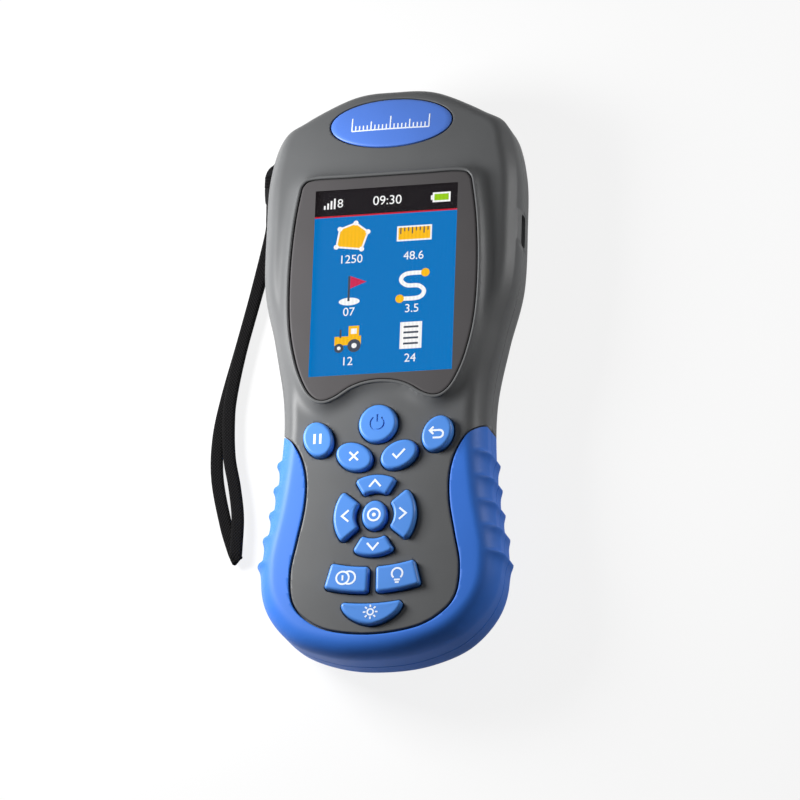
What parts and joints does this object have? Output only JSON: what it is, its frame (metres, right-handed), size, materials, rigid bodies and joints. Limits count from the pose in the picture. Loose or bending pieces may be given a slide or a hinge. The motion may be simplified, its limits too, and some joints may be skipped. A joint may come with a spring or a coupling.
{
  "type": "gps land area meter",
  "caption": "Handheld land area meter: waisted grey case with a colour display, a blue oval badge, a blue soft grip, a pad of blue press keys and a black wrist strap on a side lug.",
  "frame": {"origin": "middle of the case's outline, on the plane of its flat back", "axes": "+X to the right across the case, +Y along it from the grip to the head, +Z out of its face"},
  "size_m": [0.0822, 0.149, 0.0235],
  "materials": {
    "housing_grey": "satin moulded plastic, fine spark texture",
    "grip_blue": "satin soft-touch overmould",
    "key_blue": "satin moulded keys with white legends",
    "badge_blue": "smooth inlay with a plain printed scale",
    "clear_lens": "clear acrylic with a dark printed border",
    "black_tape": "matt adhesive tape",
    "display": "lit colour display",
    "white_plastic": "matt white plastic",
    "circuit_board": "green solder resist",
    "black_plastic": "satin black plastic",
    "silicone": "matt translucent silicone",
    "spring_steel": "bright pressed domes",
    "plated_steel": "tin-plated sheet",
    "ceramic": "fired ceramic with a silver face",
    "battery_wrap": "printed film wrap, left bare",
    "contact_brass": "plated spring leaves",
    "screw_steel": "zinc-plated screws",
    "strap_black": "flat braided nylon"
  },
  "bodies": {
    "housing": {"front_shell": "housing_grey", "rear_shell": "housing_grey", "grip_front": "grip_blue", "grip_rear": "grip_blue", "badge_plate": "badge_blue", "screen_lens": "clear_lens", "lens_tape": "black_tape", "lcd_module": "display", "backlight_tray": "white_plastic", "main_board": "circuit_board", "board_chips": "black_plastic", "keypad_mat": "silicone", "switch_domes": "spring_steel", "power_board": "circuit_board", "usb_socket": "plated_steel", "board_link": "black_plastic", "receiver_can": "plated_steel", "aerial_patch": "ceramic", "lamp_led": "white_plastic", "lamp_lens": "clear_lens", "buzzer": "black_plastic", "battery_pack": "battery_wrap", "battery_contacts": "contact_brass", "case_screws": "screw_steel", "board_screws": "screw_steel", "strap_lug": "black_plastic", "strap_tab": "strap_black", "wrist_strap": "strap_black"},
    "power_key": {"power_key": "key_blue"},
    "pause_key": {"pause_key": "key_blue"},
    "return_key": {"return_key": "key_blue"},
    "delete_key": {"delete_key": "key_blue"},
    "save_key": {"save_key": "key_blue"},
    "up_key": {"up_key": "key_blue"},
    "left_key": {"left_key": "key_blue"},
    "right_key": {"right_key": "key_blue"},
    "down_key": {"down_key": "key_blue"},
    "enter_key": {"enter_key": "key_blue"},
    "price_key": {"price_key": "key_blue"},
    "lamp_key": {"lamp_key": "key_blue"},
    "dimmer_key": {"dimmer_key": "key_blue"},
    "battery_door": {"battery_door": "housing_grey"}
  },
  "joints": [
    {"name": "power_press", "type": "slide", "parent": "housing", "child": "power_key", "axis": [0, 0, -1], "range_m": [0, 0.0007], "stiffness_N_per_m": 400},
    {"name": "pause_press", "type": "slide", "parent": "housing", "child": "pause_key", "axis": [0, 0, -1], "range_m": [0, 0.0007], "stiffness_N_per_m": 400},
    {"name": "return_press", "type": "slide", "parent": "housing", "child": "return_key", "axis": [0, 0, -1], "range_m": [0, 0.0007], "stiffness_N_per_m": 400},
    {"name": "delete_press", "type": "slide", "parent": "housing", "child": "delete_key", "axis": [0, 0, -1], "range_m": [0, 0.0007], "stiffness_N_per_m": 400},
    {"name": "save_press", "type": "slide", "parent": "housing", "child": "save_key", "axis": [0, 0, -1], "range_m": [0, 0.0007], "stiffness_N_per_m": 400},
    {"name": "up_press", "type": "slide", "parent": "housing", "child": "up_key", "axis": [0, 0, -1], "range_m": [0, 0.0007], "stiffness_N_per_m": 400},
    {"name": "left_press", "type": "slide", "parent": "housing", "child": "left_key", "axis": [0, 0, -1], "range_m": [0, 0.0007], "stiffness_N_per_m": 400},
    {"name": "right_press", "type": "slide", "parent": "housing", "child": "right_key", "axis": [0, 0, -1], "range_m": [0, 0.0007], "stiffness_N_per_m": 400},
    {"name": "down_press", "type": "slide", "parent": "housing", "child": "down_key", "axis": [0, 0, -1], "range_m": [0, 0.0007], "stiffness_N_per_m": 400},
    {"name": "enter_press", "type": "slide", "parent": "housing", "child": "enter_key", "axis": [0, 0, -1], "range_m": [0, 0.0007], "stiffness_N_per_m": 400},
    {"name": "price_press", "type": "slide", "parent": "housing", "child": "price_key", "axis": [0, 0, -1], "range_m": [0, 0.0007], "stiffness_N_per_m": 400},
    {"name": "lamp_press", "type": "slide", "parent": "housing", "child": "lamp_key", "axis": [0, 0, -1], "range_m": [0, 0.0007], "stiffness_N_per_m": 400},
    {"name": "dimmer_press", "type": "slide", "parent": "housing", "child": "dimmer_key", "axis": [0, 0, -1], "range_m": [0, 0.0007], "stiffness_N_per_m": 400},
    {"name": "battery_door_lift", "type": "slide", "parent": "housing", "child": "battery_door", "axis": [0, 0, -1], "range_m": [0, 0.02]}
  ]
}
